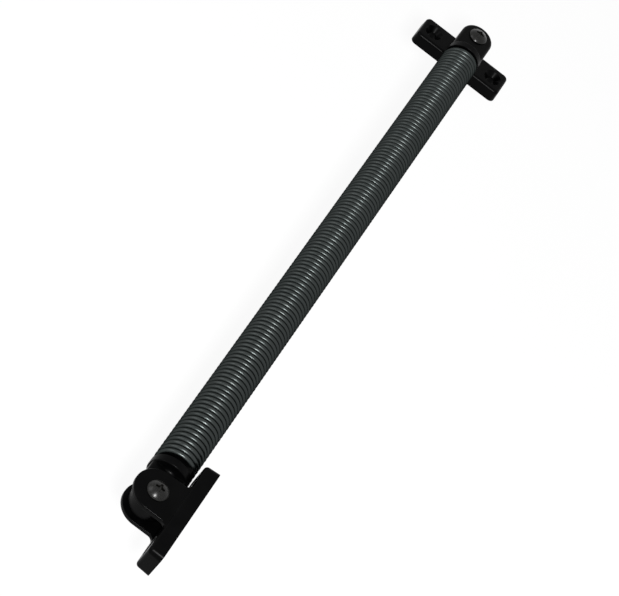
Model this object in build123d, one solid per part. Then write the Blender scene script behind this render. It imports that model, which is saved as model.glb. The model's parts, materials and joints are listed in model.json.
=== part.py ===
from build123d import *
import os
from math import cos, pi, sin, sqrt

# A support spring that props a hatch or lid open. A coil spring carries a moulded plug in each end.
# The eye of each plug turns on a screw: one in a bracket on the side wall, the other in a bracket on the lid.
#
# Frame: the origin is the centre of the side bracket's mounting face, under its pivot.
# +Z points away from the wall, +X runs along the spring to the lid bracket, and +Y out of the lid bracket's
# mounting face. Lengths are in millimetres.

os.makedirs("parts", exist_ok=True)

# Coil spring
coil_outer_diameter = 19.0
coil_length = 320.0
coil_turns = 32
wire_diameter = 2.6
wire_sides = 4
arcs_per_turn = 2

# End plugs
stem_clearance = 0.3
stem_length = 26.0
stem_chamfer = 1.5
collar_length = 4.0
shoulder_length = 13.5
eye_radius = 8.7
eye_thickness = 10.0
eye_edge_chamfer = 1.2
wire_end_gap = 0.3
stop_width = 3.5

# Pivots
screw_diameter = 5.0
screw_clearance = 0.05
head_diameter = 9.8
head_height = 2.8
head_edge_chamfer = 1.0
recess_width = 1.3
recess_span = 4.6
recess_depth = 1.5
bush_diameter = 7.0
bush_clearance = 0.05
eye_side_clearance = 0.15
nut_across_flats = 8.0
side_nut_height = 4.0
lid_nut_height = 2.7
nut_pocket_clearance = 0.1
nut_pocket_depth = 4.4
thread_past_nut = 0.3

# Bracket plates
plate_length = 53.0
plate_width = 17.0
plate_thickness = 7.0
plate_corner_radius = 3.0
plate_draft = 4.0
plate_edge_chamfer = 0.8
mounting_hole_diameter = 5.0
mounting_hole_spacing = 38.0
spring_to_plate = 0.8

# Side bracket's boss
boss_diameter = 16.8

# Lid bracket's ears
ear_radius = 10.5
ear_thickness = 2.35
ear_root_radius = 2.5

# Sizes that follow
coil_outer_radius = coil_outer_diameter / 2
coil_radius = coil_outer_radius - wire_diameter / 2
stem_radius = coil_outer_radius - wire_diameter - stem_clearance
pivot_to_coil = shoulder_length + collar_length
pivot_distance = coil_length + 2 * pivot_to_coil
wire_end_reach = wire_diameter * coil_length / (2 * pi * coil_radius * coil_turns)
wire_start = pivot_to_coil + wire_end_gap + wire_diameter / 2 + wire_end_reach
axis_to_wall = plate_thickness + spring_to_plate + coil_outer_radius
half_eye = eye_thickness / 2
half_gap = half_eye + eye_side_clearance
ear_outside = half_gap + ear_thickness
bore_radius = bush_diameter / 2 + bush_clearance
hole_radius = screw_diameter / 2 + screw_clearance


def helix_point(turn, first, pitch):
    """Centre of the wire after a number of turns, on a right-hand helix round the X axis."""
    angle = 2 * pi * turn
    return Vector(first + pitch * turn, coil_radius * cos(angle), coil_radius * sin(angle))


def helix_direction(turn, pitch):
    """Direction of the wire after a number of turns."""
    angle = 2 * pi * turn
    around = 2 * pi * coil_radius
    return Vector(pitch, -around * sin(angle), around * cos(angle)).normalized()


def biarc(start, start_direction, end, end_direction):
    """Two arcs from start to end that meet each other, and both directions, without a corner."""
    chord = end - start
    both = start_direction + end_direction
    square = both.dot(both) - 4
    linear = -2 * chord.dot(both)
    reach = (-linear - sqrt(linear * linear - 4 * square * chord.dot(chord))) / (2 * square)
    first_corner = start + start_direction * reach
    last_corner = end - end_direction * reach
    middle = (first_corner + last_corner) / 2
    return [
        Edge.make_tangent_arc(start, start_direction, middle),
        Edge.make_tangent_arc(middle, (last_corner - first_corner).normalized(), end),
    ]


def coil_path():
    """The wire's centre line, and the coil's pitch. Its ends run straight for one wire diameter."""
    first = wire_start
    pitch = (pivot_distance - 2 * first) / coil_turns
    steps = coil_turns * arcs_per_turn
    edges = []
    start, direction = helix_point(0, first, pitch), helix_direction(0, pitch)
    edges.append(Edge.make_line(start - direction * wire_diameter, start))
    for step in range(steps):
        turn, next_turn = step / arcs_per_turn, (step + 1) / arcs_per_turn
        edges += biarc(
            helix_point(turn, first, pitch),
            helix_direction(turn, pitch),
            helix_point(next_turn, first, pitch),
            helix_direction(next_turn, pitch),
        )
    end, direction = helix_point(coil_turns, first, pitch), helix_direction(coil_turns, pitch)
    edges.append(Edge.make_line(end, end + direction * wire_diameter))
    return edges, pitch


def least_gap(edges):
    """The coil's least gap to itself, from points along its centre line, a turn or more apart."""
    samples = 8
    points = [edge @ (k / samples) for edge in edges for k in range(samples)]
    per_turn = 2 * arcs_per_turn * samples
    nearest = min(
        (point - other).length
        for number, point in enumerate(points)
        for other in points[number + per_turn // 2 : number + 2 * per_turn]
    )
    return nearest - wire_diameter


def make_coil():
    """The coil spring: one unbroken wire of four flat sides."""
    edges, pitch = coil_path()
    print(f"coil: {coil_turns} turns, pitch {pitch:.2f} mm, least gap to itself {least_gap(edges):.2f} mm")
    path = Wire(edges)
    across = Plane(origin=path @ 0, x_dir=(1, 0, 0), z_dir=path % 0)
    wire = sweep(across * RegularPolygon(wire_diameter / 2, wire_sides), path=path, clean=False)
    return Pos(0, 0, axis_to_wall) * wire


def make_plug():
    """An end plug, with its pivot at the origin and its stem along +X: eye, collar, wire stop and stem."""
    along = Rotation(0, 90, 0)
    upright = (Align.CENTER, Align.CENTER, Align.MIN)
    tongue = Pos(shoulder_length / 2, 0) * Rectangle(shoulder_length, 2 * eye_radius)
    eye = Pos(0, 0, -half_eye) * extrude(Circle(eye_radius) + tongue, amount=eye_thickness)
    faces = eye.faces().group_by(Axis.Z)
    rims = faces[0].edges() + faces[-1].edges()
    rims = [edge for edge in rims if edge.center().X < shoulder_length - eye_edge_chamfer]
    eye = chamfer(rims, eye_edge_chamfer)
    collar = Pos(shoulder_length, 0, 0) * along * Cylinder(coil_outer_radius, collar_length, align=upright)
    stem = Pos(pivot_to_coil, 0, 0) * along * Cylinder(stem_radius, stem_length, align=upright)
    stem = chamfer(stem.edges().group_by(Axis.X)[-1], stem_chamfer)
    stop_top = -(wire_diameter + wire_end_gap)
    stop = Pos(pivot_to_coil, 0, stop_top) * Box(
        wire_diameter, coil_outer_diameter, stop_width, align=(Align.MIN, Align.MIN, Align.MAX)
    )
    ring = Pos(pivot_to_coil, 0, 0) * along * Cylinder(coil_outer_radius, wire_diameter, align=upright)
    plug = eye + collar + stem + (stop & ring)
    return plug - Cylinder(bore_radius, 2 * eye_thickness)


def make_plate():
    """A bracket's plate with its mounting face at z=0, its length along Y and its two screw holes."""
    outline = RectangleRounded(plate_width, plate_length, plate_corner_radius)
    plate = extrude(outline, amount=plate_thickness, taper=plate_draft)
    plate = chamfer(plate.edges().group_by(Axis.Z)[-1], plate_edge_chamfer)
    holes = GridLocations(0, mounting_hole_spacing, 1, 2)
    return plate - holes * Cylinder(mounting_hole_diameter / 2, 4 * plate_thickness)


def hexagon(across_flats):
    """A hexagon that measures across_flats between opposite sides."""
    return RegularPolygon(across_flats / 2, 6, major_radius=False)


def make_side_bracket():
    """Side bracket: plate, a boss that carries the eye, and a pocket for the nut in the mounting face."""
    boss_height = axis_to_wall - half_gap
    boss = extrude(Circle(boss_diameter / 2), amount=boss_height, taper=plate_draft)
    bracket = make_plate() + boss
    bracket -= Cylinder(hole_radius, 4 * axis_to_wall)
    pocket = hexagon(nut_across_flats + 2 * nut_pocket_clearance)
    return bracket - extrude(pocket, amount=nut_pocket_depth)


def make_lid_bracket():
    """Lid bracket with its pivot at the origin: a plate at +Y and two ears that take the eye between them."""
    plate_face = axis_to_wall - plate_thickness
    ear = Circle(ear_radius) + Pos(0, plate_face / 2) * Rectangle(2 * ear_radius, plate_face)
    foot = Pos(0, plate_face) * Rectangle(
        2 * (ear_radius + ear_root_radius), plate_thickness / 2, align=(Align.CENTER, Align.MIN)
    )
    profile = ear + foot
    corners = profile.vertices().filter_by(lambda v: abs(v.Y - plate_face) < 0.01 and abs(v.X) < ear_radius + 0.01)
    profile = fillet(corners, ear_root_radius - 0.01)
    ears = Pos(0, 0, half_gap) * extrude(profile, amount=ear_thickness)
    ears += Pos(0, 0, -ear_outside) * extrude(profile, amount=ear_thickness)
    plate = Pos(0, axis_to_wall, 0) * Rotation(90, 0, 0) * Rotation(0, 0, 90) * make_plate()
    return plate + ears - Cylinder(hole_radius, 4 * ear_outside)


def make_screw(grip, nut_height):
    """A pivot screw with its head's seat at z=0 and its shank down -Z, through grip and the nut."""
    length = grip + nut_height + thread_past_nut
    head = extrude(Circle(head_diameter / 2), amount=head_height)
    head = chamfer(head.edges().group_by(Axis.Z)[-1], head_edge_chamfer)
    shank = extrude(Circle(screw_diameter / 2), amount=-length)
    recess = Rectangle(recess_span, recess_width) + Rectangle(recess_width, recess_span)
    return head + shank - Pos(0, 0, head_height) * extrude(recess, amount=-recess_depth)


def make_nut(height):
    """A hexagon nut that stands on z=0."""
    return extrude(hexagon(nut_across_flats) - Circle(hole_radius), amount=height)


def make_bush():
    """The sleeve on which an eye turns. It stands on z=0."""
    return extrude(Circle(bush_diameter / 2) - Circle(hole_radius), amount=2 * half_gap)


side_pivot = Pos(0, 0, axis_to_wall)
lid_pivot = Pos(pivot_distance, 0, axis_to_wall)
side_nut_seat = nut_pocket_depth - side_nut_height

plug = make_plug()
half_turn = Rotation(0, 180, 0)

parts = {
    "side_bracket": make_side_bracket(),
    "side_pivot_nut": Pos(0, 0, side_nut_seat) * make_nut(side_nut_height),
    "side_pivot_bush": side_pivot * Pos(0, 0, -half_gap) * make_bush(),
    "side_pivot_screw": side_pivot * Pos(0, 0, half_gap)
    * make_screw(axis_to_wall + half_gap - nut_pocket_depth, side_nut_height),
    "side_plug": side_pivot * plug,
    "spring_coil": make_coil(),
    "lid_plug": lid_pivot * half_turn * plug,
    "lid_bracket": lid_pivot * make_lid_bracket(),
    "lid_pivot_bush": lid_pivot * Pos(0, 0, -half_gap) * make_bush(),
    "lid_pivot_screw": lid_pivot * Pos(0, 0, ear_outside) * make_screw(2 * ear_outside, lid_nut_height),
    "lid_pivot_nut": lid_pivot * Pos(0, 0, -ear_outside - lid_nut_height) * make_nut(lid_nut_height),
}

for name, part in parts.items():
    part.label = name
    export_step(part, f"parts/{name}.step")
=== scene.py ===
"""A hatch support spring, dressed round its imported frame.

Lengths are in metres. The origin is the centre of the side bracket's mounting face. +Z points away from the
wall, +X runs along the spring to the lid bracket, and +Y out of the lid bracket's mounting face.
"""

import json
import logging
import math
from dataclasses import dataclass
from enum import Enum
from typing import ClassVar

import bmesh
import bpy
import numpy as np
from mathutils import Matrix, Vector
from mathutils.geometry import delaunay_2d_cdt

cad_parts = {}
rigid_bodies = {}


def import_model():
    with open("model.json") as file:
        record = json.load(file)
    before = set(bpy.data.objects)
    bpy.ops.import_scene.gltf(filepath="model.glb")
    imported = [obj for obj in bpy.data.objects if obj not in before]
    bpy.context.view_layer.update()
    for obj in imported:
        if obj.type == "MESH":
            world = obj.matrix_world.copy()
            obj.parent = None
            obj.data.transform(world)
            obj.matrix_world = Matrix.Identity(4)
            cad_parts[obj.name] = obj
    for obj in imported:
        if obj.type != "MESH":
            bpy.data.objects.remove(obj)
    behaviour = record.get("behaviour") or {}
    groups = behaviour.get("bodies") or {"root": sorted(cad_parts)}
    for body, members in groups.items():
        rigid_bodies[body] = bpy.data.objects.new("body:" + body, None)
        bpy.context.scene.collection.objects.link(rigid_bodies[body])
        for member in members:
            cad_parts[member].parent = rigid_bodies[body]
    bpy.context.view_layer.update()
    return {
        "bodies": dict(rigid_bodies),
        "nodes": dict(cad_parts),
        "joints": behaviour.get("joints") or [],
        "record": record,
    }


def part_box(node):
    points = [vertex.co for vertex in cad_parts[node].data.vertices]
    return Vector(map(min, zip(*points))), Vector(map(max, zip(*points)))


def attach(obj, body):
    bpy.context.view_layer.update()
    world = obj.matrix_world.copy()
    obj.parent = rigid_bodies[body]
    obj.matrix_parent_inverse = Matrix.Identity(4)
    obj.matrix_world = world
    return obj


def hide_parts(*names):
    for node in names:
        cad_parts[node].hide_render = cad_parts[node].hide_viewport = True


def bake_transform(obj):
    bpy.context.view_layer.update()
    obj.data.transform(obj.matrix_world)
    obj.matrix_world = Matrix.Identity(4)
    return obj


LOG = logging.getLogger("hatch_spring")

FULL_TURN = 2 * math.pi
QUARTER_TURN = math.pi / 2
SIXTH_TURN = FULL_TURN / 6
MERGE_DISTANCE = 1e-6
ROUND_STEPS = 6
CIRCLE_STEPS = 96
SHARP_ANGLE = math.radians(32)

WIRE_DIAMETER = 0.0026
SCREW_RADIUS = 0.0025
BORE_RADIUS = SCREW_RADIUS + 0.00005

# Values that noise seldom leaves, and how many rays look for an edge nearby
NOISE_ENDS = (0.3, 0.7)
EDGE_SAMPLES = 6

# The directions that x, y and z of a shape drawn upright take when it lies along the spring
ALONG_SPRING = np.array([[0.0, 1.0, 0.0], [0.0, 0.0, 1.0], [1.0, 0.0, 0.0]])


class Join(Enum):
    """How a second body is worked into a first one."""

    ADD = "UNION"
    CUT = "DIFFERENCE"


class End(Enum):
    """The two ends of the spring. The value is the way from that end's pivot to the spring along X."""

    SIDE = 1
    LID = -1

    def of(self, kind: str) -> str:
        """The name that a kind of node or joint has at this end."""
        return f"{self.name.lower()}_{kind}"


@dataclass
class Surface:
    """Points and faces of one body before it becomes a mesh.

    Attributes:
        points: Places, one row each.
        faces: Lists of point numbers.
    """

    points: np.ndarray
    faces: list

    def __add__(self, other: "Surface") -> "Surface":
        """Both surfaces in one."""
        shift = len(self.points)
        moved = [[number + shift for number in face] for face in other.faces]
        return Surface(np.concatenate([self.points, other.points]), self.faces + moved)

    def placed(self, origin: np.ndarray, axes: np.ndarray | None = None) -> "Surface":
        """Puts the surface where it belongs.

        Args:
            origin: Where the surface's own origin goes.
            axes: The directions that its own x, y and z take, one row each, or None to leave them.

        Returns:
            The placed surface: each point is its own coordinates times the directions, plus the origin.
        """
        turned = self.points if axes is None else self.points @ axes
        return Surface(turned + origin, self.faces)


@dataclass
class Outline:
    """A closed flat outline, anticlockwise.

    Attributes:
        points: Places along it, one row each.
        normals: Unit directions out of it at those places.
    """

    points: np.ndarray
    normals: np.ndarray

    def inset(self, distance: float) -> np.ndarray:
        """The outline's points, each moved inwards along its normal by a distance."""
        return self.points - self.normals * distance


@dataclass(frozen=True)
class Arc:
    """A stretch of an outline: an arc round a centre, or a sharp corner where its radius is 0.

    Attributes:
        centre: Its centre.
        radius: Its radius.
        start: The angle at which it starts.
        stop: The angle at which it ends.
        hollow: Whether the outline's inside is on the arc's outer side.
        steps: How many stretches it is cut into.
    """

    centre: tuple[float, float]
    radius: float
    start: float
    stop: float
    hollow: bool = False
    steps: int = 12

    @classmethod
    def corner(cls, x: float, y: float, angle: float) -> "Arc":
        """A sharp corner whose outward normal has an angle."""
        return cls((x, y), 0.0, angle, angle, steps=1)

    def sampled(self) -> tuple[np.ndarray, np.ndarray]:
        """Points and outward normals: the centre plus the radius times cosine and sine of the angle."""
        spokes = spokes_at(np.linspace(self.start, self.stop, self.steps + 1))
        return np.array(self.centre) + self.radius * spokes, -spokes if self.hollow else spokes


def outline_of(arcs: list[Arc]) -> Outline:
    """Strings arcs into an outline, with straight lines between them.

    Args:
        arcs: The arcs in order, anticlockwise.

    Returns:
        The closed outline.
    """
    sampled = [arc.sampled() for arc in arcs]
    points = np.concatenate([places for places, _ in sampled])
    normals = np.concatenate([directions for _, directions in sampled])
    fresh = np.linalg.norm(points - np.roll(points, 1, axis=0), axis=1) > MERGE_DISTANCE
    return Outline(points[fresh], normals[fresh])


def angles_round(steps: int) -> np.ndarray:
    """The angles of even steps round a circle, from 0."""
    return np.linspace(0, FULL_TURN, steps, endpoint=False)


def spokes_at(angles: np.ndarray) -> np.ndarray:
    """Unit directions at angles, one row each."""
    return np.stack([np.cos(angles), np.sin(angles)], axis=1)


def circle(radius: float, centre: tuple[float, float] = (0.0, 0.0)) -> Outline:
    """A circular outline."""
    spokes = spokes_at(angles_round(CIRCLE_STEPS))
    return Outline(np.array(centre) + radius * spokes, spokes)


def rounded_rectangle(half_width: float, half_length: float, radius: float) -> Outline:
    """A rectangle with round corners, its width along x and its length along y."""
    x, y = half_width - radius, half_length - radius
    corners = [(x, y), (-x, y), (-x, -y), (x, -y)]
    return outline_of([
        Arc(corner, radius, number * QUARTER_TURN, (number + 1) * QUARTER_TURN)
        for number, corner in enumerate(corners)
    ])


def rings_joined(rings: np.ndarray, closed: bool = False) -> Surface:
    """Joins closed rings of points, one after the other, into a sheet.

    Point i of a ring is joined to points i and i + 1 of the next ring, and the last point to the first.

    Args:
        rings: An array of rings by points by three coordinates.
        closed: Whether the last ring is joined to the first.

    Returns:
        The sheet.
    """
    count, around, _ = rings.shape
    index = np.arange(count * around).reshape(count, around)
    beside = np.roll(index, -1, axis=1)
    ahead, ahead_beside = np.roll(index, -1, axis=0), np.roll(beside, -1, axis=0)
    quads = np.stack([index, beside, ahead_beside, ahead], axis=-1)
    if not closed:
        quads = quads[:-1]
    return Surface(rings.reshape(-1, 3), quads.reshape(-1, 4).tolist())


def flat_cap(rings: list[np.ndarray], height: float) -> Surface:
    """Fills the plane between an outline and its holes with triangles.

    The triangulation names the rings that each triangle is inside. Those inside the outline alone stay.

    Args:
        rings: The outline's points, then each hole's.
        height: The plane's place along z.

    Returns:
        The flat sheet.
    """
    points = [Vector(point) for point in np.concatenate(rings)]
    counts = np.cumsum([len(ring) for ring in rings])
    outlines = [part.tolist() for part in np.split(np.arange(len(points)), counts[:-1])]
    found = delaunay_2d_cdt(points, [], outlines, 1, MERGE_DISTANCE)
    flat = np.array([tuple(vertex) for vertex in found[0]])
    triangles = [triangle for triangle, rings_round in zip(found[2], found[5]) if rings_round == [0]]
    return Surface(np.column_stack([flat, np.full(len(flat), height)]), triangles)


def slab(outline: Outline, levels: np.ndarray, holes: list[Outline] | None = None,
         hole_levels: np.ndarray | None = None) -> Surface:
    """A closed slab with rounded edges and holes.

    Its wall is the outline, moved inwards and upwards by the levels. Each hole's wall is its circle, moved
    likewise. A flat cap closes either end.

    Args:
        outline: The slab's outline.
        levels: Rows of inset and height for the wall, from the lower face to the upper one.
        holes: The holes' outlines, if it has any.
        hole_levels: The same rows for the holes' walls. A mouth that opens out has a negative inset.

    Returns:
        The slab, with its lower face at the first height.
    """
    holes = holes or []
    body = wall(outline, levels)
    for hole in holes:
        body = body + wall(hole, hole_levels)
    for row in (0, -1):
        rings = [outline.inset(levels[row, 0])] + [hole.inset(hole_levels[row, 0]) for hole in holes]
        body = body + flat_cap(rings, levels[row, 1])
    return body


def prism(outline: Outline, low: float, high: float) -> Surface:
    """A closed straight body over an outline, between two heights."""
    return slab(outline, np.array([[0.0, low], [0.0, high]]))


def wall(outline: Outline, levels: np.ndarray) -> Surface:
    """The wall that an outline leaves as it moves through levels of inset and height."""
    rings = [
        np.column_stack([outline.inset(inset), np.full(len(outline.points), height)])
        for inset, height in levels
    ]
    return rings_joined(np.array(rings))


def edge_levels(height: float, lower: float, upper: float, draft: float = 0.0) -> np.ndarray:
    """Inset and height up a wall with a rounded lower and upper edge.

    A rounding is a quarter circle: its inset is the radius less the radius times the sine of the angle, and
    its height the radius less the radius times the cosine. Draft adds its tangent times the height.

    Args:
        height: The wall's height.
        lower: The lower edge's radius.
        upper: The upper edge's radius.
        draft: The angle at which the wall leans inwards.

    Returns:
        Rows of inset and height.
    """
    angle = np.linspace(0, QUARTER_TURN, ROUND_STEPS + 1)
    low = np.stack([lower * (1 - np.sin(angle)), lower * (1 - np.cos(angle))], axis=1)
    high = np.stack([upper * (1 - np.cos(angle)), height - upper * (1 - np.sin(angle))], axis=1)
    levels = np.concatenate([low, high])
    levels[:, 0] += math.tan(draft) * levels[:, 1]
    return levels


def mouth_levels(height: float, radius: float) -> np.ndarray:
    """Inset and height down a hole whose two mouths open out by a radius."""
    levels = edge_levels(height, radius, radius)
    levels[:, 0] *= -1
    return levels


def lathe(profile: np.ndarray, closed: bool = False, steps: int = CIRCLE_STEPS) -> Surface:
    """Turns a profile round the z axis: x and y are the radius times cosine and sine of the angle.

    Args:
        profile: Rows of radius and height.
        closed: Whether the profile's end joins its start, as on a ring.
        steps: How many stretches go round.

    Returns:
        The turned surface. A radius of 0 makes a pole.
    """
    angles = angles_round(steps)
    radius, height = profile[:, :1], profile[:, 1:]
    rings = np.stack([radius * np.cos(angles), radius * np.sin(angles), height + 0 * angles], axis=-1)
    return rings_joined(rings, closed)


def arc_profile(centre: tuple[float, float], radius: float, start: float, stop: float) -> np.ndarray:
    """Rows of radius and height along an arc of a profile, between two angles in degrees."""
    return np.array(centre) + radius * spokes_at(np.radians(np.linspace(start, stop, ROUND_STEPS + 1)))


def cleaned(mesh: bpy.types.Mesh) -> None:
    """Merges a mesh's doubles, drops its slivers and turns its faces outwards."""
    work = bmesh.new()
    work.from_mesh(mesh)
    bmesh.ops.remove_doubles(work, verts=work.verts, dist=MERGE_DISTANCE)
    bmesh.ops.dissolve_degenerate(work, edges=work.edges, dist=MERGE_DISTANCE)
    bmesh.ops.recalc_face_normals(work, faces=work.faces)
    work.to_mesh(mesh)
    work.free()


def mesh_of(name: str, surface: Surface, values: dict[str, np.ndarray] | None = None) -> bpy.types.Object:
    """Makes a clean mesh object at the origin.

    Args:
        name: The object's name.
        surface: Its points and faces.
        values: Vectors that the mesh keeps under a name, one row for each point.

    Returns:
        The object, linked to the scene.
    """
    mesh = bpy.data.meshes.new(name)
    mesh.from_pydata(surface.points.tolist(), [], surface.faces)
    for attribute, rows in (values or {}).items():
        layer = mesh.attributes.new(attribute, "FLOAT_VECTOR", "POINT")
        layer.data.foreach_set("vector", rows.astype(np.float32).ravel())
    cleaned(mesh)
    piece = bpy.data.objects.new(name, mesh)
    bpy.context.scene.collection.objects.link(piece)
    return piece


def worked(piece: bpy.types.Object, surface: Surface, how: Join) -> None:
    """Adds a body to a piece, or cuts it out, and drops the body.

    Args:
        piece: The piece that is worked on.
        surface: The body.
        how: Whether it is added or cut out.
    """
    tool = mesh_of("tool", surface)
    modifier = piece.modifiers.new("work", "BOOLEAN")
    modifier.operation = how.value
    modifier.solver = "EXACT"
    modifier.object = tool
    shown = piece.evaluated_get(bpy.context.evaluated_depsgraph_get())
    mesh = bpy.data.meshes.new_from_object(shown)
    cleaned(mesh)
    piece.modifiers.clear()
    piece.data = mesh
    bpy.data.objects.remove(tool)


def smoothed(piece: bpy.types.Object) -> None:
    """Shades a piece smooth, with crisp corners and large flat faces left flat."""
    piece.data.shade_smooth()
    piece.data.set_sharp_from_angle(angle=SHARP_ANGLE)
    weighted = piece.modifiers.new("flat faces", "WEIGHTED_NORMAL")
    weighted.keep_sharp = True


def opaque(colour: tuple[float, float, float]) -> tuple[float, float, float, float]:
    """A colour with full cover."""
    return (*colour, 1.0)


class NodeSheet:
    """A node tree that starts empty, with short calls to add and feed nodes."""

    def __init__(self, owner: bpy.types.Material | bpy.types.World) -> None:
        """Empties the owner's tree."""
        owner.use_nodes = True
        self.tree = owner.node_tree
        self.tree.nodes.clear()

    def add(self, kind: str, inputs: dict | None = None, **values: object) -> bpy.types.Node:
        """Adds a node.

        Args:
            kind: The node's type.
            inputs: For each input, the socket that feeds it or its plain value.
            values: The node's properties.

        Returns:
            The node.
        """
        node = self.tree.nodes.new(kind)
        for key, value in values.items():
            setattr(node, key, value)
        for key, value in (inputs or {}).items():
            if isinstance(value, bpy.types.NodeSocket):
                self.tree.links.new(value, node.inputs[key])
            else:
                node.inputs[key].default_value = value
        return node

    def place(self) -> bpy.types.NodeSocket:
        """The place on the object."""
        return self.add("ShaderNodeTexCoord").outputs["Object"]

    def noise(self, place: bpy.types.NodeSocket, scale: float, detail: float) -> bpy.types.NodeSocket:
        """Noise at a place, from 0 to 1, with so many features to the metre."""
        node = self.add("ShaderNodeTexNoise", {"Vector": place, "Scale": scale, "Detail": detail})
        return node.outputs["Fac"]

    def ranged(self, value: bpy.types.NodeSocket, ends: tuple, results: tuple) -> bpy.types.NodeSocket:
        """Maps a value between two ends to between two results."""
        names = ("Value", "From Min", "From Max", "To Min", "To Max")
        return self.add("ShaderNodeMapRange", dict(zip(names, (value, *ends, *results)))).outputs["Result"]

    def mixed(self, factor: bpy.types.NodeSocket, first: object, second: object) -> bpy.types.NodeSocket:
        """A colour between two others, of which each is a socket or a plain colour."""
        node = self.add("ShaderNodeMix", {"Factor": factor, "A": first, "B": second}, data_type="RGBA")
        return node.outputs["Result"]

    def bumped(self, height: bpy.types.NodeSocket, distance: float, strength: float) -> bpy.types.NodeSocket:
        """The normal of a surface that follows a height."""
        node = self.add("ShaderNodeBump", {"Height": height, "Distance": distance, "Strength": strength})
        return node.outputs["Normal"]

    def edges(self, radius: float, reach: float) -> bpy.types.NodeSocket:
        """How near an edge is: 0 on open faces, up to 1 where the rounded normal leaves the real one."""
        rounded = self.add("ShaderNodeBevel", {"Radius": radius}, samples=EDGE_SAMPLES).outputs["Normal"]
        real = self.add("ShaderNodeNewGeometry").outputs["Normal"]
        same = self.add("ShaderNodeVectorMath", {0: rounded, 1: real}, operation="DOT_PRODUCT")
        return self.ranged(same.outputs["Value"], (1.0, 1.0 - reach), (0.0, 1.0))

    def principled(self, inputs: dict) -> None:
        """Ends a material in a Principled shader."""
        shader = self.add("ShaderNodeBsdfPrincipled", inputs)
        self.add("ShaderNodeOutputMaterial", {"Surface": shader.outputs["BSDF"]})

    def seen(self, share: float) -> bpy.types.NodeSocket:
        """A share for camera, glossy and transmission rays, and 0 for the rest."""
        rays = self.add("ShaderNodeLightPath").outputs
        most = rays["Is Camera Ray"]
        for name in ("Is Glossy Ray", "Is Transmission Ray"):
            most = self.add("ShaderNodeMath", {0: most, 1: rays[name]}, operation="MAXIMUM").outputs[0]
        return self.add("ShaderNodeMath", {0: most, 1: share}, operation="MULTIPLY").outputs[0]

    def two_faced(self, share: float, lit: bpy.types.Node, shown: bpy.types.Node) -> bpy.types.NodeSocket:
        """A shader that lights the object as one and shows itself, by a share, as another."""
        sides = {"Fac": self.seen(share), 1: lit.outputs[0], 2: shown.outputs[0]}
        return self.add("ShaderNodeMixShader", sides).outputs[0]


@dataclass(frozen=True)
class Finish:
    """A finish of two mottled colours, rubbed to a third along its edges.

    Attributes:
        name: The material's name.
        colours: The two colours.
        rubbed: The colour of a rubbed edge.
        wear: The width of a rubbed edge, and how far the normal leaves the face's there.
        pattern: The mottle's features to the metre, and their detail.
        contrast: The pattern's values at which either colour is alone.
        roughness: The roughness at a low and at a high value of the pattern.
        grain: The bumps' features to the metre, and their detail.
        bump: The bumps' height and strength.
        specular: The specular level.
        metallic: 1 for bare metal.
    """

    name: str
    colours: tuple
    rubbed: tuple
    wear: tuple[float, float]
    pattern: tuple[float, float]
    contrast: tuple[float, float]
    roughness: tuple[float, float]
    grain: tuple[float, float]
    bump: tuple[float, float]
    specular: float = 0.5
    metallic: float = 0.0

    def material(self) -> bpy.types.Material:
        """Builds the material."""
        material = bpy.data.materials.new(self.name)
        sheet = NodeSheet(material)
        place = sheet.place()
        pattern = sheet.noise(place, *self.pattern)
        body = sheet.mixed(sheet.ranged(pattern, self.contrast, (0.0, 1.0)), *map(opaque, self.colours))
        sheet.principled({
            "Base Color": sheet.mixed(sheet.edges(*self.wear), body, opaque(self.rubbed)),
            "Roughness": sheet.ranged(pattern, NOISE_ENDS, self.roughness),
            "Normal": sheet.bumped(sheet.noise(place, *self.grain), *self.bump),
            "Specular IOR Level": self.specular,
            "Metallic": self.metallic,
        })
        return material


# Black moulded nylon: near black, a little glossy, faintly mottled, paler on rubbed edges
MOULDED_BLACK = Finish(
    name="moulded_black",
    colours=((0.0006, 0.0006, 0.0007), (0.0012, 0.0012, 0.0013)),
    rubbed=(0.004, 0.004, 0.004),
    wear=(0.0006, 0.35),
    pattern=(140.0, 3.0),
    contrast=(0.35, 0.65),
    roughness=(0.24, 0.32),
    grain=(3200.0, 2.0),
    bump=(0.00003, 0.05),
    specular=0.035,
)

# Blacked steel of the screws: nearly black, with a fine speckled oxide
BLACKED_STEEL = Finish(
    name="blacked_steel",
    colours=((0.0012, 0.0012, 0.0011), (0.011, 0.0105, 0.009)),
    rubbed=(0.03, 0.03, 0.028),
    wear=(0.0002, 0.4),
    pattern=(2600.0, 4.0),
    contrast=(0.45, 0.7),
    roughness=(0.22, 0.34),
    grain=(2600.0, 4.0),
    bump=(0.00002, 0.3),
    specular=0.25,
)

# Zinc-plated steel of the nuts and bushes, with fine turning marks
ZINC_STEEL = Finish(
    name="zinc_steel",
    colours=((0.42, 0.43, 0.44), (0.30, 0.30, 0.31)),
    rubbed=(0.62, 0.62, 0.63),
    wear=(0.0003, 0.4),
    pattern=(900.0, 4.0),
    contrast=(0.0, 1.0),
    roughness=(0.26, 0.42),
    grain=(900.0, 4.0),
    bump=(0.00001, 0.3),
    metallic=1.0,
)


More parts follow.
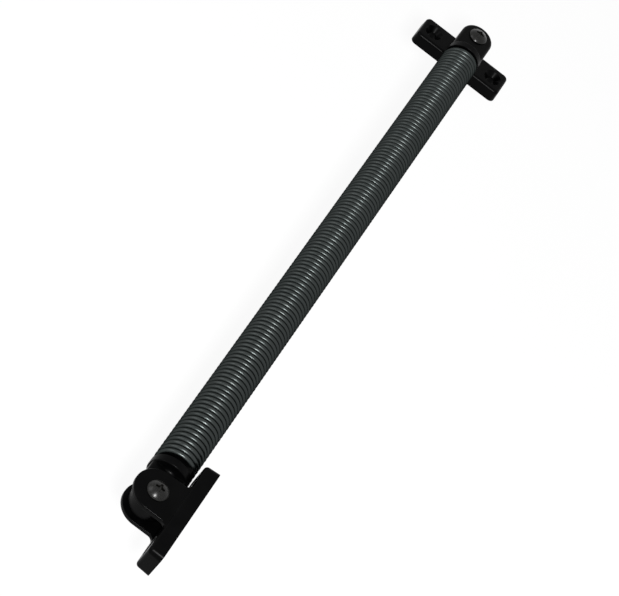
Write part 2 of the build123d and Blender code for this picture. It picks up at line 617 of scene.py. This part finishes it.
@dataclass(frozen=True)
class SpringWire:
    """Dark spring wire: satin charcoal with drawing lines along the wire and a painted highlight on its outer
    side.

    It reads the wire's own straightened coordinates: the distance along it, and the two across it, of which
    the first points out of the coil.

    Attributes:
        attribute: The name of those coordinates on the mesh.
        colour: The wire's colour.
        streak: The colour of its paler drawing lines.
        painted_crest_highlight: The paler colour painted on its outer side as a highlight, so that the
            grooves between turns stay darker as painted shade.
        painted_highlight_start: How far out the painted highlight starts, against the wire's radius.
        painted_highlight_share: How much of the painted highlight's colour there is at the wire's outermost
            point.
        rim: The tint of what it reflects at a grazing angle.
        lines: The drawing lines' features to the metre along the wire and across it.
        line_detail: Their detail.
        contrast: Their values at which either colour is alone.
        bump: Their height and strength.
        patches: The features to the metre of its satin's changes, and their detail.
        roughness: The roughness at a low and at a high value of those.
    """

    attribute: str
    name: str = "spring_wire"
    colour: tuple = (0.026, 0.031, 0.0305)
    streak: tuple = (0.038, 0.043, 0.042)
    # Painted highlight on the wire's outer side: its colour, where it starts and how much of it there is at
    # the top
    painted_crest_highlight: tuple = (0.052, 0.057, 0.056)
    painted_highlight_start: float = 0.55
    painted_highlight_share: float = 0.6
    rim: tuple = (0.25, 0.25, 0.25)
    lines: tuple = (30.0, 1800.0, 1800.0)
    line_detail: float = 3.0
    contrast: tuple[float, float] = (0.35, 0.65)
    bump: tuple[float, float] = (0.00003, 0.35)
    patches: tuple[float, float] = (90.0, 3.0)
    roughness: tuple[float, float] = (0.29, 0.36)

    def material(self) -> bpy.types.Material:
        """Builds the material."""
        material = bpy.data.materials.new(self.name)
        sheet = NodeSheet(material)
        unwound = sheet.add("ShaderNodeAttribute", attribute_name=self.attribute).outputs["Vector"]
        stretched = sheet.add("ShaderNodeMapping", {"Vector": unwound, "Scale": self.lines})
        lines = sheet.noise(stretched.outputs["Vector"], 1.0, self.line_detail)
        patches = sheet.noise(sheet.place(), *self.patches)
        radius = WIRE_DIAMETER / 2
        outward = sheet.add("ShaderNodeSeparateXYZ", {"Vector": unwound}).outputs["Y"]
        # Painted highlight: the wire's outward side is painted paler, which leaves the grooves between turns
        # as painted shade
        painted_crest_highlight = sheet.ranged(outward, (self.painted_highlight_start * radius, radius), (0.0, self.painted_highlight_share))
        drawn = sheet.ranged(lines, self.contrast, (0.0, 1.0))
        body = sheet.mixed(drawn, opaque(self.colour), opaque(self.streak))
        sheet.principled({
            "Base Color": sheet.mixed(painted_crest_highlight, body, opaque(self.painted_crest_highlight)),
            "Roughness": sheet.ranged(patches, NOISE_ENDS, self.roughness),
            "Normal": sheet.bumped(lines, *self.bump),
            "Metallic": 1.0,
            "Specular Tint": opaque(self.rim),
        })
        return material


@dataclass
class Frame:
    """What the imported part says: its bodies, slots and the places that the pieces share.

    Attributes:
        bodies: The body of each node.
        slots: The material slot of each node.
        hinges: The place of each joint's hinge along X.
        axis_height: Height of the spring's middle line above the wall.
        pivots: The place of each end's pivot along X.
    """

    bodies: dict[str, str]
    slots: dict[str, str]
    hinges: dict[str, float]
    axis_height: float
    pivots: dict[End, float]

    @classmethod
    def read(cls, frame: dict) -> "Frame":
        """Reads them from the loaded frame."""
        groups = frame["record"]["behaviour"]["bodies"]
        bodies = {node: body for body, nodes in groups.items() for node in nodes}
        slots = {entry["node"]: entry["material_slot"] for entry in frame["record"]["subparts"]}
        places = {joint["name"]: joint["pos_m"] for joint in frame["joints"]}
        hinges = {name: place[0] for name, place in places.items()}
        pivots = {end: hinges[end.of("pivot")] for end in End}
        return cls(bodies, slots, hinges, places[End.SIDE.of("pivot")][2], pivots)

    def pivot(self, end: End, height: float | None = None) -> np.ndarray:
        """The place of an end's pivot at a height, or else on the spring's middle line."""
        return np.array([self.pivots[end], 0.0, self.axis_height if height is None else height])


def span(node: str) -> np.ndarray:
    """A node's lowest and highest corner, one row each."""
    return np.array([tuple(corner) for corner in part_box(node)])


@dataclass
class EndPiece:
    """A rigid piece at one end of the spring.

    Attributes:
        frame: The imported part.
        end: Which end it is at.
        kind: What its node is called after the end's name.
        form: What the new piece is called after its node's name.
    """

    frame: Frame
    end: End
    kind: ClassVar[str]
    form: ClassVar[str]

    def __post_init__(self) -> None:
        """Reads its node's box."""
        self.node = self.end.of(self.kind)
        self.low, self.high = span(self.node)
        self.size = self.high - self.low

    def base(self) -> Surface:
        """The body that the piece starts as, in its place."""
        raise NotImplementedError

    def work(self) -> list[tuple[Surface, Join]]:
        """The bodies that are then added or cut out, in order."""
        return []

    def build(self, material: bpy.types.Material) -> None:
        """Makes the piece, dresses it in a finish and puts it in its node's place."""
        piece = mesh_of(f"{self.node}_{self.form}", self.base())
        for surface, how in self.work():
            worked(piece, surface, how)
        piece.data.materials.clear()
        piece.data.materials.append(material)
        smoothed(piece)
        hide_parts(self.node)
        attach(piece, self.frame.bodies[self.node])
        LOG.info("%s stands for %s on %s", piece.name, self.node, self.frame.bodies[self.node])


@dataclass
class CoilSpring:
    """The close-wound coil: a round wire on a right-hand helix, in two halves that meet at mid-length.

    Attributes:
        frame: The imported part.
        steps: How many stretches a turn is cut into.
        sides: How many points go round the wire.
        start_angle: Where the wire starts and, turned round, ends, from the helix's first angle.
        cut_rim: The radius of a cut end's face, against the wire's.
        attribute: The name of the wire's straightened coordinates on the mesh.
    """

    frame: Frame
    steps: int = 56
    sides: int = 16
    start_angle: float = -0.3
    cut_rim: float = 0.9
    attribute: str = "unwound"

    def __post_init__(self) -> None:
        """Works out the helix from the node's box."""
        low, high = span("spring_coil")
        self.wire_radius = WIRE_DIAMETER / 2
        self.coil_radius = (high[1] - low[1]) / 2 - self.wire_radius
        self.first = low[0] + self.wire_radius
        length = high[0] - low[0] - WIRE_DIAMETER
        self.last_angle = FULL_TURN * math.floor(length / WIRE_DIAMETER) - 2 * self.start_angle
        self.lead = length / self.last_angle

    def tube(self, start: float, stop: float, open_start: bool,
             open_stop: bool) -> tuple[Surface, np.ndarray]:
        """The wire between two angles of the helix.

        The helix climbs the lead times the angle along X and circles at the coil's radius. Round each of its
        points goes a ring: the wire's radius times cosine of a second angle along the outward direction,
        plus sine of it along the direction square to that and to the wire.

        Args:
            start: The first angle.
            stop: The last angle.
            open_start: Whether the wire carries on past its first angle in another piece.
            open_stop: Whether it carries on past its last angle.

        Returns:
            The surface, and the wire's straightened coordinates at each point.
        """
        steps = round((stop - start) / FULL_TURN * self.steps)
        angle = np.linspace(start, stop, steps + 1)
        rims = [1.0 if carries_on else self.cut_rim for carries_on in (open_start, open_stop)]
        size = np.concatenate([[0.0, rims[0]], np.ones_like(angle), [rims[1], 0.0]])
        angle = np.concatenate([angle[:1], angle[:1], angle, angle[-1:], angle[-1:]])
        turned = angle + self.start_angle
        zero, one = np.zeros_like(angle), np.ones_like(angle)
        outward = np.stack([zero, np.cos(turned), np.sin(turned)], axis=-1)
        ahead = np.stack([self.lead * one, -self.coil_radius * np.sin(turned),
                          self.coil_radius * np.cos(turned)], axis=-1)
        ahead /= np.linalg.norm(ahead, axis=1, keepdims=True)
        square = np.cross(ahead, outward)
        middle = self.coil_radius * outward + np.stack(
            [self.first + self.lead * angle, zero, self.frame.axis_height * one], axis=-1)
        around = angles_round(self.sides)
        reach = self.wire_radius * size[:, None]
        out, side = reach * np.cos(around), reach * np.sin(around)
        rings = middle[:, None] + out[..., None] * outward[:, None] + side[..., None] * square[:, None]
        run = np.broadcast_to((angle * math.hypot(self.coil_radius, self.lead))[:, None], out.shape)
        return rings_joined(rings), np.stack([run, out, side], axis=-1).reshape(-1, 3)

    def build(self) -> None:
        """Makes both halves of the wire, which meet at mid-length.

        Each keeps the wire's straightened coordinates, which its finish reads.
        """
        wire = SpringWire(self.attribute).material()
        middle = self.last_angle / 2
        halves = {
            "coil_side_half": (End.SIDE, (0.0, middle, False, True), "side_end", "coil"),
            "coil_lid_half": (End.LID, (middle, self.last_angle, True, False), "coil", "lid_end"),
        }
        for name, (end, stretch, near, far) in halves.items():
            surface, unwound = self.tube(*stretch)
            piece = mesh_of(name, surface, {self.attribute: unwound})
            piece.data.shade_smooth()
            piece.data.materials.append(wire)
            hinge = self.frame.hinges[f"spring_bend_{end.name.lower()}"]
            reach = float(np.abs(span(end.of("plug"))[:, 0] - hinge).min())
            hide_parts("spring_coil")
            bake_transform(piece)
            LOG.info("%s bends between %s and %s", name, near, far)


@dataclass
class EndPlug(EndPiece):
    """A moulded end plug: a flat eye with round edges, a shoulder, a collar and a stem inside the coil.

    Attributes:
        eye_thickness: The eye's thickness along the pivot.
        shoulder: How far the collar's eye side is from the pivot.
        collar_length: The collar's length.
        edge_radius: Rounding of the eye's edges.
        collar_edge: Rounding of the collar's edge.
        shoulder_radius: The hollow rounding between the eye and the collar.
        bore_edge: Rounding of the bore's mouths.
        bore_clearance: Room round the bush.
        stem_gap: Room between the stem and the coil, and between the lug and the wire's end.
        stem_chamfer: The chamfer on the stem's tip.
        stop_width: The width of the lug that the wire's end faces.
    """

    kind: ClassVar[str] = "plug"
    form: ClassVar[str] = "moulding"
    eye_thickness: float = 0.010
    shoulder: float = 0.0135
    collar_length: float = 0.004
    edge_radius: float = 0.0020
    collar_edge: float = 0.0006
    shoulder_radius: float = 0.0024
    bore_edge: float = 0.0004
    bore_clearance: float = 0.00005
    stem_gap: float = 0.0003
    stem_chamfer: float = 0.0015
    stop_width: float = 0.0035

    def __post_init__(self) -> None:
        """Works out the plug's outer sizes and its bore."""
        super().__post_init__()
        self.collar_radius = self.size[2] / 2
        pivot = self.frame.pivots[self.end]
        self.eye_radius, self.tip = sorted((abs(self.low[0] - pivot), abs(self.high[0] - pivot)))
        self.bore_radius = PivotBush(self.frame, self.end).size[0] / 2 + self.bore_clearance

    def eye(self) -> Surface:
        """The eye: a half circle round the pivot and a straight tongue into the collar, drilled."""
        root = self.shoulder + self.collar_length / 2
        outline = outline_of([
            Arc((0.0, 0.0), self.eye_radius, QUARTER_TURN, 3 * QUARTER_TURN, steps=CIRCLE_STEPS // 2),
            Arc.corner(root, -self.eye_radius, -QUARTER_TURN),
            Arc.corner(root, self.eye_radius, QUARTER_TURN),
        ])
        levels = edge_levels(self.eye_thickness, self.edge_radius, self.edge_radius)
        bore = mouth_levels(self.eye_thickness, self.bore_edge)
        body = slab(outline, levels, [circle(self.bore_radius)], bore)
        return body.placed(np.array([0.0, 0.0, -self.eye_thickness / 2]))

    def spindle(self) -> Surface:
        """Shoulder, collar and stem: a profile turned round the spring's middle line.

        Its first two points are hidden in the eye.
        """
        half_eye = self.eye_thickness / 2
        hollow = self.shoulder_radius
        stem = self.collar_radius - WIRE_DIAMETER - self.stem_gap
        face = self.shoulder + self.collar_length
        profile = np.concatenate([
            [(0.0, self.shoulder - 2 * hollow)],
            [(half_eye - hollow / 2, self.shoulder - 1.5 * hollow)],
            arc_profile((half_eye + hollow, self.shoulder - hollow), hollow, 180, 90),
            arc_profile((self.collar_radius - self.collar_edge, self.shoulder + self.collar_edge),
                        self.collar_edge, 270, 360),
            [(self.collar_radius, face - self.collar_edge / 3)],
            [(self.collar_radius - self.collar_edge / 3, face)],
            [(stem, face)],
            [(stem, self.tip - self.stem_chamfer)],
            [(stem - self.stem_chamfer, self.tip)],
            [(0.0, self.tip)],
        ])
        return lathe(profile).placed(np.zeros(3), ALONG_SPRING)

    def wire_stop(self) -> Surface:
        """The lug that the wire's end faces: a block between two heights, round on its outer side."""
        high = WIRE_DIAMETER + self.stem_gap
        low = high + self.stop_width
        radius = self.collar_radius - MERGE_DISTANCE
        inner = self.stop_width / 3
        outline = outline_of([
            Arc.corner(inner, -low, 0.0),
            Arc((0.0, 0.0), radius, -math.asin(low / radius), -math.asin(high / radius)),
            Arc.corner(inner, -high, QUARTER_TURN),
        ])
        root = self.collar_length / 2
        lug = prism(outline, 0.0, root + WIRE_DIAMETER)
        return lug.placed(np.array([self.shoulder + root, 0.0, 0.0]), ALONG_SPRING)

    def seated(self, body: Surface) -> Surface:
        """Puts a body of the plug in its place, turned half round about Y at the lid end."""
        turn = np.diag([float(self.end.value), 1.0, float(self.end.value)])
        return body.placed(self.frame.pivot(self.end), turn)

    def base(self) -> Surface:
        """The eye."""
        return self.seated(self.eye())

    def work(self) -> list[tuple[Surface, Join]]:
        """The spindle and the lug are added."""
        return [(self.seated(body), Join.ADD) for body in (self.spindle(), self.wire_stop())]


@dataclass(frozen=True)
class Plate:
    """A bracket's plate, its width along x, its length along y and its mounting face at z = 0.

    Attributes:
        width: Its width.
        length: Its length.
        thickness: Its thickness.
        draft: The lean of its walls.
        corner_radius: Rounding of its corners in plan.
        top_edge: Rounding of its upper edge.
        foot_edge: Rounding of the mounting face's edge.
        hole_radius: Radius of its two screw holes.
        hole_spacing: Their distance.
        hole_edge: Rounding of their mouths.
        sink_radius: Radius of the countersink that takes a screw's head.
        sink_angle: The lean of the countersink's wall from the hole's axis.
    """

    width: float
    length: float
    thickness: float = 0.007
    draft: float = math.radians(4)
    corner_radius: float = 0.003
    top_edge: float = 0.0016
    foot_edge: float = 0.0001
    hole_radius: float = SCREW_RADIUS
    hole_spacing: float = 0.038
    hole_edge: float = 0.0002
    sink_radius: float = 0.0048
    sink_angle: float = math.radians(43)

    def surface(self) -> Surface:
        """The plate as a slab with two countersunk holes."""
        outline = rounded_rectangle(self.width / 2, self.length / 2, self.corner_radius)
        levels = edge_levels(self.thickness, self.foot_edge, self.top_edge, self.draft)
        holes = [circle(self.hole_radius, (0.0, side * self.hole_spacing / 2)) for side in (-1, 1)]
        return slab(outline, levels, holes, self.sink_levels())

    def sink_levels(self) -> np.ndarray:
        """Inset and height up a hole: a broken lower mouth, the bore, and the countersink's cone.

        The cone's depth is what its radius gains over the bore's, divided by the tangent of its lean.
        """
        widening = self.sink_radius - self.hole_radius
        depth = widening / math.tan(self.sink_angle)
        lower = mouth_levels(self.thickness, self.hole_edge)[:ROUND_STEPS + 1]
        rim = np.array([
            [0.0, self.thickness - depth],
            [self.hole_edge - widening, self.thickness - self.hole_edge / math.tan(self.sink_angle)],
            [-self.hole_edge / 3 - widening, self.thickness],
        ])
        return np.concatenate([lower, rim])


@dataclass
class LidBracket(EndPiece):
    """The lid bracket: a plate with two ears that take the eye between them.

    Attributes:
        root_radius: The hollow rounding at the ears' roots.
        root_sink: How far that rounding runs into the plate.
        outer_edge: Rounding of the ears' outer edges.
        inner_edge: Rounding of their inner edges and of the bore's mouths.
    """

    kind: ClassVar[str] = "bracket"
    form: ClassVar[str] = "moulding"
    root_radius: float = 0.0025
    root_sink: float = 0.00002
    outer_edge: float = 0.0006
    inner_edge: float = 0.0003

    def __post_init__(self) -> None:
        """Works out the plate and the ears, which lie between the bush and the nut."""
        super().__post_init__()
        self.plate = Plate(width=self.size[2], length=self.size[0])
        self.ear_radius = -self.low[1]
        self.half_gap = PivotBush(self.frame, self.end).size[2] / 2
        self.ear_outside = self.frame.axis_height - HexNut(self.frame, self.end).high[2]

    def ear(self) -> Surface:
        """One ear: a half circle round the pivot, two straight sides and hollow roundings at its root."""
        top = self.high[1] - self.plate.thickness
        sunk = top + self.plate.thickness / 3
        foot = self.ear_radius + self.root_radius
        fillet = top - self.root_radius + self.root_sink
        outline = outline_of([
            Arc.corner(foot, sunk, 0.0),
            Arc.corner(-foot, sunk, math.pi),
            Arc((-foot, fillet), self.root_radius, QUARTER_TURN, 0.0, hollow=True),
            Arc((0.0, 0.0), self.ear_radius, math.pi, FULL_TURN, steps=CIRCLE_STEPS // 2),
            Arc((foot, fillet), self.root_radius, math.pi, QUARTER_TURN, hollow=True),
        ])
        thickness = self.ear_outside - self.half_gap
        levels = edge_levels(thickness, self.inner_edge, self.outer_edge)
        return slab(outline, levels, [circle(BORE_RADIUS)], mouth_levels(thickness, self.inner_edge))

    def base(self) -> Surface:
        """The plate, which stands upright with its mounting face towards +Y."""
        upright = np.array([[0.0, 0.0, 1.0], [1.0, 0.0, 0.0], [0.0, -1.0, 0.0]])
        seat = self.frame.pivot(self.end) + np.array([0.0, self.high[1], 0.0])
        return self.plate.surface().placed(seat, upright)

    def work(self) -> list[tuple[Surface, Join]]:
        """The two ears are added, one above the eye and its mirror image below."""
        ears = []
        for side in (1.0, -1.0):
            inner = self.frame.pivot(self.end, self.frame.axis_height + side * self.half_gap)
            ears.append((self.ear().placed(inner, np.diag([1.0, 1.0, side])), Join.ADD))
        return ears


@dataclass
class SideBracket(EndPiece):
    """The side bracket: a plate with a round boss under the eye and a pocket for the nut in its back.

    Attributes:
        boss_radius: The boss's radius at the mounting face.
        boss_edge: Rounding of its upper edge.
        pocket_clearance: Room round the nut.
        pocket_depth: The pocket's depth.
    """

    kind: ClassVar[str] = "bracket"
    form: ClassVar[str] = "moulding"
    boss_radius: float = 0.0084
    boss_edge: float = 0.0004
    pocket_clearance: float = 0.0001
    pocket_depth: float = 0.0044

    def __post_init__(self) -> None:
        """Works out the plate."""
        super().__post_init__()
        self.plate = Plate(width=self.size[0], length=self.size[1])

    def boss(self) -> Surface:
        """The boss: a drafted cone with a round upper edge, sunk into the plate."""
        root = self.plate.thickness / 2
        levels = edge_levels(self.high[2], 0.0, self.boss_edge, self.plate.draft)
        levels = levels[levels[:, 1] > root]
        levels = np.concatenate([[(math.tan(self.plate.draft) * root, root)], levels])
        return slab(circle(self.boss_radius), levels)

    def pocket(self) -> Surface:
        """The nut's pocket as a solid: a hexagon that runs out of the mounting face."""
        flat = HexNut(self.frame, self.end).size[1] / 2 + self.pocket_clearance
        corner = flat / math.cos(SIXTH_TURN / 2)
        spokes = spokes_at(SIXTH_TURN * np.arange(6))
        return prism(Outline(corner * spokes, spokes), -self.pocket_depth, self.pocket_depth)

    def bore(self) -> Surface:
        """The screw's bore as a solid."""
        return prism(circle(BORE_RADIUS), -self.high[2], 2 * self.high[2])

    def base(self) -> Surface:
        """The plate."""
        return self.plate.surface()

    def work(self) -> list[tuple[Surface, Join]]:
        """The boss is added, then the bore and the pocket are cut."""
        return [(self.boss(), Join.ADD), (self.bore(), Join.CUT), (self.pocket(), Join.CUT)]


@dataclass
class PivotScrew(EndPiece):
    """A pivot screw: a raised head with a cross recess, and a plain shank.

    Attributes:
        head_height: The head's height.
        crown_radius: How far out the crown reaches.
        rim_width: The rim's width.
        crown_tilt: The tilt at which the crown ends and the slope starts.
        slope_tilt: The tilt at which the slope ends and the rim starts.
        rim_tilt: The tilt at the head's edge.
        seat_edge: The broken edge under the head.
        tip_chamfer: The chamfer on the shank's tip.
        recess_span: The cross recess's span from tip to tip.
        recess_width: The width of its arms.
        recess_depth: Its depth.
        recess_taper: How far its walls lean in over that depth.
        recess_corner: Rounding of its arms' tips.
        recess_root: Rounding between its arms.
    """

    kind: ClassVar[str] = "pivot_screw"
    form: ClassVar[str] = "body"
    head_height: float = 0.0028
    crown_radius: float = 0.0023
    rim_width: float = 0.0007
    crown_tilt: float = math.radians(24)
    slope_tilt: float = math.radians(40)
    rim_tilt: float = math.radians(56)
    seat_edge: float = 0.00015
    tip_chamfer: float = 0.0004
    recess_span: float = 0.0046
    recess_width: float = 0.0013
    recess_depth: float = 0.0015
    recess_taper: float = 0.0003
    recess_corner: float = 0.0004
    recess_root: float = 0.0004

    def __post_init__(self) -> None:
        """Works out the head's radius, the place of its seat and the shank's length."""
        super().__post_init__()
        self.head_radius = self.size[0] / 2
        self.length = self.size[2] - self.head_height
        self.seat = self.frame.pivot(self.end, self.high[2] - self.head_height)

    def crown(self) -> np.ndarray:
        """The head's top as rows of radius and height.

        Three arcs meet without a corner: the crown, a flatter slope and the rim. Each goes from one tilt of
        the surface to the next, and its radius is the way that it goes outwards, divided by the difference
        of the sines of its tilts. The heights fall by the radius times that of their cosines.
        """
        tilts = np.array([0.0, self.crown_tilt, self.slope_tilt, self.rim_tilt])
        slope_width = self.head_radius - self.crown_radius - self.rim_width
        widths = np.array([self.crown_radius, slope_width, self.rim_width])
        radii = widths / np.diff(np.sin(tilts))
        rows = np.array([[0.0, self.head_height]])
        for radius, first, last in zip(radii, tilts[:-1], tilts[1:]):
            tilt = np.linspace(first, last, ROUND_STEPS + 1)[1:]
            step = np.stack([np.sin(tilt) - math.sin(first), np.cos(tilt) - math.cos(first)], axis=1)
            rows = np.concatenate([rows, rows[-1] + radius * step])
        return rows

    def base(self) -> Surface:
        """Head and shank: a profile turned round the screw's axis."""
        profile = np.concatenate([
            self.crown(),
            [(self.head_radius, self.seat_edge)],
            [(self.head_radius - self.seat_edge, 0.0)],
            [(SCREW_RADIUS, 0.0)],
            [(SCREW_RADIUS, self.tip_chamfer - self.length)],
            [(SCREW_RADIUS - self.tip_chamfer, -self.length)],
            [(0.0, -self.length)],
        ])
        return lathe(profile).placed(self.seat)

    def recess(self) -> Surface:
        """The cross recess as a solid that narrows towards its floor.

        Each of its four arms has two round corners at its tip and a hollow one towards the next arm.
        """
        half_width = self.recess_width / 2
        tip = self.recess_span / 2 - self.recess_corner
        beside = half_width - self.recess_corner
        root = half_width + self.recess_root
        arcs = []
        for turn in QUARTER_TURN * np.arange(4):
            along = np.array([math.cos(turn), math.sin(turn)])
            across = np.array([-math.sin(turn), math.cos(turn)])
            ahead = turn + QUARTER_TURN
            arcs += [
                Arc(tip * along - beside * across, self.recess_corner, turn - QUARTER_TURN, turn),
                Arc(tip * along + beside * across, self.recess_corner, turn, ahead),
                Arc(root * (along + across), self.recess_root, ahead + math.pi, turn + math.pi, hollow=True),
            ]
        floor, above = self.head_height - self.recess_depth, self.head_height + self.recess_depth
        return slab(outline_of(arcs), np.array([[self.recess_taper, floor], [-self.recess_taper, above]]))

    def work(self) -> list[tuple[Surface, Join]]:
        """The recess is cut."""
        return [(self.recess().placed(self.seat), Join.CUT)]


@dataclass
class HexNut(EndPiece):
    """A hexagon nut with chamfered corners and a countersunk bore.

    Attributes:
        mouth: The chamfer on the bore's mouths.
        chamfer_angle: The lean of the cone that cuts the corners.
        steps: How many stretches go round.
    """

    kind: ClassVar[str] = "pivot_nut"
    form: ClassVar[str] = "body"
    mouth: float = 0.0003
    chamfer_angle: float = math.radians(30)
    steps: int = 120

    def base(self) -> Surface:
        """The nut.

        At an angle, its side is half the size across flats, divided by the cosine of the angle from the
        nearest flat. A cone cuts that side off, lower by the tangent of the chamfer times how far the side
        stands outside the flats' circle.
        """
        angle = angles_round(self.steps)
        flat, height = self.size[1] / 2, self.size[2]
        side = flat / np.cos(np.mod(angle, SIXTH_TURN) - SIXTH_TURN / 2)
        face = np.full_like(angle, flat - self.mouth / 2)
        cut = (side - face) * math.tan(self.chamfer_angle)
        bore, mouth = np.full_like(angle, BORE_RADIUS), np.full_like(angle, BORE_RADIUS + self.mouth)
        zero = np.zeros_like(angle)
        radii = np.stack([face, side, side, face, mouth, bore, bore, mouth])
        top = zero + height
        heights = np.stack([zero, cut, height - cut, top, top, top - self.mouth, zero + self.mouth, zero])
        rings = np.stack([radii * np.cos(angle), radii * np.sin(angle), heights], axis=-1)
        return rings_joined(rings, closed=True).placed(self.frame.pivot(self.end, self.low[2]))


@dataclass
class PivotBush(EndPiece):
    """The steel sleeve that an eye turns on.

    Attributes:
        edge: The width of its broken edges.
    """

    kind: ClassVar[str] = "pivot_bush"
    form: ClassVar[str] = "sleeve"
    edge: float = 0.0002

    def base(self) -> Surface:
        """The sleeve: a ring turned from a profile of eight corners."""
        outer, height = self.size[0] / 2, self.size[2]
        corners = [(outer, self.edge), (outer, height - self.edge), (outer - self.edge, height)]
        corners += [(BORE_RADIUS + self.edge, height), (BORE_RADIUS, height - self.edge)]
        corners += [(BORE_RADIUS, self.edge), (BORE_RADIUS + self.edge, 0.0), (outer - self.edge, 0.0)]
        return lathe(np.array(corners), closed=True).placed(self.frame.pivot(self.end, self.low[2]))


def looking(place: Vector, aim: Vector) -> Matrix:
    """The transform of a lamp or camera that looks from a place to an aim."""
    return Matrix.Translation(place) @ (aim - place).to_track_quat("-Z", "Y").to_matrix().to_4x4()


@dataclass(frozen=True)
class Lamp:
    """A square soft lamp.

    Attributes:
        name: Its name.
        place: Where it stands.
        size: Its side.
        power: Its power in watts.
    """

    name: str
    place: tuple[float, float, float]
    size: float
    power: float

    def build(self, aim: Vector) -> None:
        """Adds the lamp, pointed at an aim."""
        light = bpy.data.lights.new(self.name, "AREA")
        light.size, light.energy = self.size, self.power
        lamp = bpy.data.objects.new(self.name, light)
        bpy.context.scene.collection.objects.link(lamp)
        lamp.matrix_world = looking(Vector(self.place), aim)


@dataclass(frozen=True)
class Studio:
    """Floor, soft light, white surroundings and the camera at the photograph's view.

    Attributes:
        eye: Where the camera stands.
        aim: The point on the wall's plane at the middle of the picture.
        roll: How far the camera is rolled.
        focal_pixels: The lens's focal length in the photograph's pixels.
        picture_width: The photograph's width in pixels.
        sensor_width: The width of the camera's sensor in millimetres.
        nearest: How near to the camera a thing still shows.
        floor_drop: How far the floor lies below the mounting face.
        floor_size: The floor's side.
        floor_shown: The share of its glow in what the camera and reflections see of the floor.
        floor_glow: The strength of that glow, where 1 is white.
        floor_colour: Its colour where it takes light and shadow.
        surround: The strength of the even light from all sides.
        lamps: The lamps.
    """

    eye: tuple[float, float, float] = (0.9154, -0.0396, 0.7693)
    aim: tuple[float, float, float] = (0.1960, 0.0071, 0.0)
    roll: float = math.radians(40.0)
    focal_pixels: float = 2291.0
    picture_width: float = 619.0
    sensor_width: float = 36.0
    nearest: float = 0.01
    floor_drop: float = 0.09
    floor_size: float = 14.0
    floor_shown: float = 0.87
    floor_glow: float = 1.05
    floor_colour: tuple[float, float, float] = (0.9, 0.9, 0.9)
    surround: float = 0.2
    lamps: tuple[Lamp, ...] = (
        Lamp("key", (1.02, 0.03, 0.87), 0.08, 14.0),
        Lamp("left_fill", (0.45, -1.0, 0.75), 0.6, 2.5),
    )

    def camera(self) -> None:
        """Adds the camera: it looks from the eye to the aim, then rolls about that line."""
        data = bpy.data.cameras.new("camera")
        data.sensor_width = self.sensor_width
        data.lens = self.focal_pixels / self.picture_width * self.sensor_width
        data.clip_start, data.clip_end = self.nearest, 2 * self.floor_size
        camera = bpy.data.objects.new("camera", data)
        bpy.context.scene.collection.objects.link(camera)
        camera.matrix_world = looking(Vector(self.eye), Vector(self.aim)) @ Matrix.Rotation(self.roll, 4, "Z")
        bpy.context.scene.camera = camera

    def floor(self) -> None:
        """Adds the floor: a pale matt sheet that keeps the object's shadow and shows nearly white."""
        half = self.floor_size / 2
        corners = [(-half, -half), (half, -half), (half, half), (-half, half)]
        points = np.column_stack([corners, np.full(4, -self.floor_drop)])
        floor = mesh_of("floor", Surface(points, [[0, 1, 2, 3]]))
        material = bpy.data.materials.new("pale_floor")
        sheet = NodeSheet(material)
        matt = sheet.add("ShaderNodeBsdfDiffuse", {"Color": opaque(self.floor_colour)})
        glow = sheet.add("ShaderNodeEmission", {"Strength": self.floor_glow})
        sheet.add("ShaderNodeOutputMaterial", {"Surface": sheet.two_faced(self.floor_shown, matt, glow)})
        floor.data.materials.append(material)

    def surroundings(self) -> None:
        """Lights the object evenly from all sides, and shows white to the camera and in reflections."""
        world = bpy.data.worlds.new("studio")
        bpy.context.scene.world = world
        sheet = NodeSheet(world)
        white = opaque((1.0, 1.0, 1.0))
        soft = sheet.add("ShaderNodeBackground", {"Color": white, "Strength": self.surround})
        shown = sheet.add("ShaderNodeBackground", {"Color": white})
        sheet.add("ShaderNodeOutputWorld", {"Surface": sheet.two_faced(1.0, soft, shown)})

    def build(self) -> None:
        """Sets the scene."""
        bpy.context.scene.view_settings.view_transform = "Standard"
        self.camera()
        self.floor()
        self.surroundings()
        for lamp in self.lamps:
            lamp.build(Vector(self.aim))


def main() -> None:
    """Builds every piece round the frame."""
    logging.basicConfig(level=logging.INFO, format="%(name)s: %(message)s")
    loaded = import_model()
    frame = Frame.read(loaded)
    black, screw, zinc = (finish.material() for finish in (MOULDED_BLACK, BLACKED_STEEL, ZINC_STEEL))
    CoilSpring(frame).build()
    SideBracket(frame, End.SIDE).build(black)
    LidBracket(frame, End.LID).build(black)
    for end in End:
        EndPlug(frame, end).build(black)
        PivotScrew(frame, end).build(screw)
        HexNut(frame, end).build(zinc)
        PivotBush(frame, end).build(zinc)
    Studio().build()


if __name__ == "__main__":
    main()
